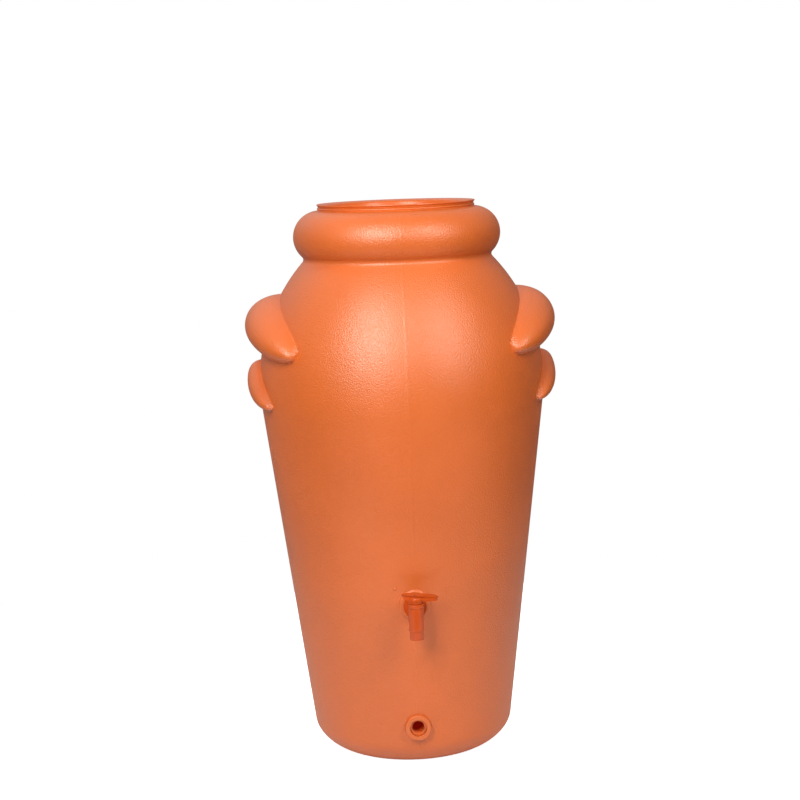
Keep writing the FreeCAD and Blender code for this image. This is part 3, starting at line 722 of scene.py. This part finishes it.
def bowl_outline():
    """Section of the bowl, from corners of (radius, height, rounding)."""
    floor_top = PLANTER_FLOOR + PLANTER_BASE
    throat = THROAT_RADIUS - PLANTER_WALL
    floor = FLOOR_RADIUS - PLANTER_WALL
    return rounded_outline([
        (0, PLANTER_FLOOR, 0), (FLOOR_RADIUS, PLANTER_FLOOR, 8), (THROAT_RADIUS, UNDER_LIP - 3, 1.5),
        (THROAT_RADIUS + 1, UNDER_LIP, 0.4), (LIP_FOOT, UNDER_LIP, 0.5), (LIP_FOOT + 0.3, HEIGHT - 4, 2.0),
        (LIP_RADIUS, HEIGHT - 1.7, 0.5), (LIP_RADIUS - 0.5, HEIGHT, 0.5), (LIP_FOOT, HEIGHT, 1.5),
        (throat + 2, HEIGHT - 3, 2.0), (throat, HEIGHT - 6, 2.0), (floor, floor_top, 7), (0, floor_top, 0)])


def drain_hole_cutters():
    """One mesh of upright pins where the planter's floor has its holes."""
    centres = [(0.0, 0.0)]
    for step in range(DRAIN_HOLES):
        angle = math.radians(360 / DRAIN_HOLES * step)
        centres.append((DRAIN_HOLE_CIRCLE * math.cos(angle), DRAIN_HOLE_CIRCLE * math.sin(angle)))
    bottom = PLANTER_FLOOR - CUT_MARGIN
    top = PLANTER_FLOOR + 2 * CUT_MARGIN
    outline = [(0, bottom), (DRAIN_HOLE, bottom), (DRAIN_HOLE, top), (0, top)]
    pin_vertices, pin_faces = lathe(outline, segments=32)
    vertices = []
    faces = []
    for cx, cy in centres:
        start = len(vertices)
        vertices.extend((x + cx, y + cy, z) for x, y, z in pin_vertices)
        faces.extend(tuple(start + i for i in face) for face in pin_faces)
    return new_object("cutters", vertices, faces)


def carve(obj, cutter):
    """Cuts one object out of another and removes the cutter."""
    modifier = obj.modifiers.new("holes", "BOOLEAN")
    modifier.operation = "DIFFERENCE"
    modifier.solver = "EXACT"
    modifier.object = cutter
    bpy.context.view_layer.update()
    carved = bpy.data.meshes.new_from_object(obj.evaluated_get(bpy.context.evaluated_depsgraph_get()))
    obj.modifiers.clear()
    obj.data = carved
    carved.shade_smooth()
    carved.set_sharp_from_angle(angle=math.radians(SHARP_ANGLE))
    bpy.data.objects.remove(cutter)


# ---------------------------------------------------------------- materials

CLOUD_SCALE = 5.0            # broad differences of colour and gloss, per metre
CLOUD_RANGE = (0.3, 0.7)     # part of the noise they use
ROUGHNESS_SPREAD = 0.04
GRAIN_NOISE = 0.55           # waves, per grain, of the noise that bends the grain
GRAIN_BEND = 0.9             # how far it bends the grain, as a share of the grain's size
PIT_RANGE = (0.3, 0.8)       # part of the grain that counts as its pits
PAINTED_SHADE_SHARE = 0.10             # how much painted shade, a darker colour, the deepest pits take
# darkness of the painted shade in the pits, as a share of the material's own colour
PAINTED_PIT_DARKNESS = 0.7


def add_node(tree, kind, **values):
    """Adds a node and sets its plain attributes and, by name, its inputs."""
    node = tree.nodes.new(kind)
    for name, value in values.items():
        if name in node.inputs:
            node.inputs[name].default_value = value
        else:
            setattr(node, name, value)
    return node


def mixed_colour(tree, factor, low, high):
    """Colour that runs from low to high with a factor."""
    mix = tree.nodes.new("ShaderNodeMix")
    mix.data_type = "RGBA"
    tree.links.new(factor, mix.inputs[0])
    mix.inputs[6].default_value = (*low, 1)
    mix.inputs[7].default_value = (*high, 1)
    return mix.outputs[2]


def scaled_range(tree, value, low, high, source=(0.0, 1.0)):
    """Value mapped to the range low to high."""
    node = add_node(tree, "ShaderNodeMapRange")
    node.inputs["From Min"].default_value = source[0]
    node.inputs["From Max"].default_value = source[1]
    node.inputs["To Min"].default_value = low
    node.inputs["To Max"].default_value = high
    tree.links.new(value, node.inputs["Value"])
    return node.outputs["Result"]


def moulded_plastic(name, colour, rough, grain_size, grain_depth, gloss=0.5, variation=0.06):
    """Coloured material with moulded grain, and painted shade that darkens the grain's pits. Grain size and
    depth are in metres.
    """
    material = bpy.data.materials.new(name)
    material.use_nodes = True
    tree = material.node_tree
    shader = tree.nodes["Principled BSDF"]
    place = tree.nodes.new("ShaderNodeTexCoord").outputs["Object"]

    broad = add_node(tree, "ShaderNodeTexNoise", Scale=CLOUD_SCALE, Detail=4.0, Roughness=0.55)
    tree.links.new(place, broad.inputs["Vector"])
    fine = add_node(tree, "ShaderNodeTexNoise", Scale=GRAIN_NOISE / grain_size, Detail=3.0, Roughness=0.6)
    tree.links.new(place, fine.inputs["Vector"])
    warp = add_node(tree, "ShaderNodeVectorMath", operation="SCALE", Scale=GRAIN_BEND * grain_size)
    tree.links.new(fine.outputs["Color"], warp.inputs[0])
    moved = add_node(tree, "ShaderNodeVectorMath", operation="ADD")
    tree.links.new(place, moved.inputs[0])
    tree.links.new(warp.outputs[0], moved.inputs[1])
    cells = add_node(tree, "ShaderNodeTexVoronoi", feature="SMOOTH_F1", Scale=1.0 / grain_size,
                     Smoothness=0.6)
    tree.links.new(moved.outputs[0], cells.inputs["Vector"])

    darker = tuple(c * (1 - variation) for c in colour)
    lighter = tuple(min(c * (1 + variation), 1) for c in colour)
    shade = scaled_range(tree, broad.outputs["Fac"], 0, 1, CLOUD_RANGE)
    cloudy = mixed_colour(tree, shade, darker, lighter)
    # Painted shade: the grain's pits are darkened in colour, as if shade lay in them.
    pits = scaled_range(tree, cells.outputs["Distance"], 0.0, PAINTED_SHADE_SHARE, PIT_RANGE)
    shaded_in_pits = tree.nodes.new("ShaderNodeMix")
    shaded_in_pits.data_type = "RGBA"
    tree.links.new(pits, shaded_in_pits.inputs[0])
    tree.links.new(cloudy, shaded_in_pits.inputs[6])
    shaded_in_pits.inputs[7].default_value = (*(c * PAINTED_PIT_DARKNESS for c in colour), 1)
    tree.links.new(shaded_in_pits.outputs[2], shader.inputs["Base Color"])

    roughness = scaled_range(tree, broad.outputs["Fac"], rough - ROUGHNESS_SPREAD, rough + ROUGHNESS_SPREAD,
                             CLOUD_RANGE)
    tree.links.new(roughness, shader.inputs["Roughness"])
    shader.inputs["Specular IOR Level"].default_value = gloss

    bump = add_node(tree, "ShaderNodeBump", Strength=1.0, Distance=grain_depth, invert=True)
    tree.links.new(cells.outputs["Distance"], bump.inputs["Height"])
    tree.links.new(bump.outputs["Normal"], shader.inputs["Normal"])
    return material


def metal(name, colour, rough):
    """Bare metal with fine rolling marks."""
    material = moulded_plastic(name, colour, rough, grain_size=0.0006, grain_depth=0.00001, variation=0.1)
    material.node_tree.nodes["Principled BSDF"].inputs["Metallic"].default_value = 1.0
    return material


MATERIALS = {
    "shell_plastic": moulded_plastic("shell_plastic", (0.575, 0.112, 0.0118), 0.43, grain_size=0.0025,
                                     grain_depth=0.00055, gloss=0.9),
    "planter_plastic": moulded_plastic("planter_plastic", (0.60, 0.115, 0.018), 0.36, grain_size=0.0012,
                                       grain_depth=0.00002),
    "tap_plastic": moulded_plastic("tap_plastic", (0.48, 0.064, 0.0065), 0.20, grain_size=0.0010,
                                   grain_depth=0.00001, gloss=0.4),
    "fitting_plastic": moulded_plastic("fitting_plastic", (0.60, 0.12, 0.025), 0.32, grain_size=0.0010,
                                       grain_depth=0.00001),
    "nut_plastic": moulded_plastic("nut_plastic", (0.03, 0.03, 0.032), 0.4, grain_size=0.0010,
                                   grain_depth=0.00002, variation=0.15),
    "seal_rubber": moulded_plastic("seal_rubber", (0.018, 0.018, 0.019), 0.6, grain_size=0.0008,
                                   grain_depth=0.00003, gloss=0.35, variation=0.2),
    "screen_metal": metal("screen_metal", (0.6, 0.6, 0.58), 0.35),
    "screw_steel": metal("screw_steel", (0.62, 0.61, 0.58), 0.28)}


# ---------------------------------------------------------------- small CAD parts

def soften(node, slot, width=EDGE_WIDTH):
    """Gives a CAD part its material and rounds its sharp edges for the light."""
    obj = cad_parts[node]
    obj.data.materials.clear()
    obj.data.materials.append(MATERIALS[slot])
    weld = obj.modifiers.new("weld", "WELD")
    weld.merge_threshold = WELD_DISTANCE * MM
    bevel = obj.modifiers.new("soft_edges", "BEVEL")
    bevel.width = width * MM
    bevel.segments = 3
    bevel.limit_method = "ANGLE"
    bevel.angle_limit = EDGE_ANGLE
    bevel.harden_normals = True


# ---------------------------------------------------------------- scene

def place_camera():
    """Camera with its distance and height in the barrel's frame, then yaw, pitch and roll."""
    ahead = Vector((math.sin(CAMERA_YAW), math.cos(CAMERA_YAW), 0))
    right = Vector((math.cos(CAMERA_YAW), -math.sin(CAMERA_YAW), 0))
    top = Vector((0, 0, 1))
    forward = ahead * math.cos(CAMERA_PITCH) - top * math.sin(CAMERA_PITCH)
    up = ahead * math.sin(CAMERA_PITCH) + top * math.cos(CAMERA_PITCH)
    rolled_right = right * math.cos(CAMERA_ROLL) - up * math.sin(CAMERA_ROLL)
    rolled_up = up * math.cos(CAMERA_ROLL) + right * math.sin(CAMERA_ROLL)
    axes = Matrix((rolled_right, rolled_up, -forward)).transposed()
    turn = Matrix.Rotation(-CAMERA_TURN, 3, "Z")
    location = turn @ Vector((0, -CAMERA_DISTANCE, CAMERA_HEIGHT))
    data = bpy.data.cameras.new("camera")
    data.sensor_width = 36.0
    data.lens = CAMERA_LENS
    camera = bpy.data.objects.new("camera", data)
    bpy.context.scene.collection.objects.link(camera)
    camera.matrix_world = Matrix.Translation(location * MM) @ (turn @ axes).to_4x4()
    bpy.context.scene.camera = camera


def softbox(name, azimuth, size, power):
    """Area light aimed at the barrel, at degrees from the camera's direction, positive to its right."""
    around = math.radians(azimuth) - CAMERA_TURN
    level = math.cos(SOFTBOX_ELEVATION)
    direction = Vector((math.sin(around) * level, -math.cos(around) * level, math.sin(SOFTBOX_ELEVATION)))
    data = bpy.data.lights.new(name, "AREA")
    data.shape = "RECTANGLE"
    data.size = size[0]
    data.size_y = size[1]
    data.energy = power
    data.color = WARM
    light = bpy.data.objects.new(name, data)
    bpy.context.scene.collection.objects.link(light)
    light.location = Vector((0, 0, SOFTBOX_AIM)) + direction * SOFTBOX_DISTANCE
    light.rotation_euler = (-direction).to_track_quat("-Z", "Y").to_euler()


def inner_glow():
    """Faint red light inside the barrel, which stands in for daylight that comes through its thin wall."""
    data = bpy.data.lights.new("inner_glow", "POINT")
    data.energy = GLOW_POWER
    data.color = GLOW_COLOUR
    data.shadow_soft_size = GLOW_RADIUS
    light = bpy.data.objects.new("inner_glow", data)
    bpy.context.scene.collection.objects.link(light)
    light.location = (0, 0, GLOW_HEIGHT)


def build_world():
    """Light from all round: dim in front, bright behind, less near the horizon and on the right.
    The camera sees plain white instead."""
    world = bpy.data.worlds.new("studio")
    bpy.context.scene.world = world
    world.use_nodes = True
    tree = world.node_tree
    background = tree.nodes["Background"]
    background.inputs["Color"].default_value = (1, 1, 1, 1)
    direction = tree.nodes.new("ShaderNodeTexCoord").outputs["Generated"]
    parts = tree.nodes.new("ShaderNodeSeparateXYZ")
    tree.links.new(direction, parts.inputs[0])
    around = scaled_range(tree, parts.outputs["Y"], WORLD_FRONT, WORLD_BACK, (-0.3, 0.5))
    above = scaled_range(tree, parts.outputs["Z"], WORLD_LOW, 1.0, (0.0, 0.5))
    across = scaled_range(tree, parts.outputs["X"], 1.0, WORLD_RIGHT, (-0.1, 0.5))
    lit = add_node(tree, "ShaderNodeMath", operation="MULTIPLY")
    tree.links.new(around, lit.inputs[0])
    tree.links.new(above, lit.inputs[1])
    glow = add_node(tree, "ShaderNodeMath", operation="MULTIPLY")
    tree.links.new(lit.outputs[0], glow.inputs[0])
    tree.links.new(across, glow.inputs[1])
    seen = tree.nodes.new("ShaderNodeLightPath").outputs["Is Camera Ray"]
    strength = add_node(tree, "ShaderNodeMix")
    tree.links.new(seen, strength.inputs[0])
    tree.links.new(glow.outputs[0], strength.inputs[2])
    strength.inputs[3].default_value = 1.0
    tree.links.new(strength.outputs[0], background.inputs["Strength"])


def build_floor():
    """White square floor, which isn't part of the model."""
    corners = [(x * FLOOR_HALF, y * FLOOR_HALF, 0) for x, y in ((-1, -1), (1, -1), (1, 1), (-1, 1))]
    floor = new_object("studio_floor", corners, [(0, 1, 2, 3)])
    material = bpy.data.materials.new("floor_paint")
    material.use_nodes = True
    shader = material.node_tree.nodes["Principled BSDF"]
    shader.inputs["Base Color"].default_value = FLOOR_COLOUR
    shader.inputs["Roughness"].default_value = FLOOR_ROUGHNESS
    shader.inputs["Emission Color"].default_value = (1, 1, 1, 1)
    seen = material.node_tree.nodes.new("ShaderNodeLightPath").outputs["Is Camera Ray"]
    glow = scaled_range(material.node_tree, seen, *FLOOR_GLOW)
    material.node_tree.links.new(glow, shader.inputs["Emission Strength"])
    floor.data.materials.append(material)


# ---------------------------------------------------------------- the scene is put together

shell = new_object("shell", *build_shell(), SHELL_SHARP_ANGLE)
finish_piece(shell, "barrel", "shell_plastic", "barrel_shell")

bowl = new_object("planter", *lathe(bowl_outline(), segments=160))
carve(bowl, drain_hole_cutters())
finish_piece(bowl, "planter", "planter_plastic", "planter_bowl")

for node in ("tap_body", "tap_gland_ring", "tap_plug", "tap_lever"):
    soften(node, "tap_plastic")
soften("drain_bushing", "fitting_plastic")
for node in ("tap_lock_nut", "drain_lock_nut", "inlet_lock_nut", "tap_slip_washer", "drain_slip_washer",
             "inlet_nipple"):
    soften(node, "nut_plastic")
for node in ("tap_outer_gasket", "tap_inner_gasket", "drain_outer_gasket", "inlet_outer_gasket",
             "inlet_inner_gasket", "tap_upper_o_ring", "tap_lower_o_ring"):
    soften(node, "seal_rubber", SEAL_EDGE_WIDTH)
soften("planter_screen", "screen_metal", SCREEN_EDGE_WIDTH)
soften("tap_lever_screw", "screw_steel", SCREW_EDGE_WIDTH)

build_floor()
build_world()
softbox("left_softbox", azimuth=-23, size=(0.8, 1.6), power=70)
softbox("right_softbox", azimuth=39, size=(0.55, 1.4), power=38)
inner_glow()
place_camera()
bpy.context.scene.view_settings.view_transform = "Standard"
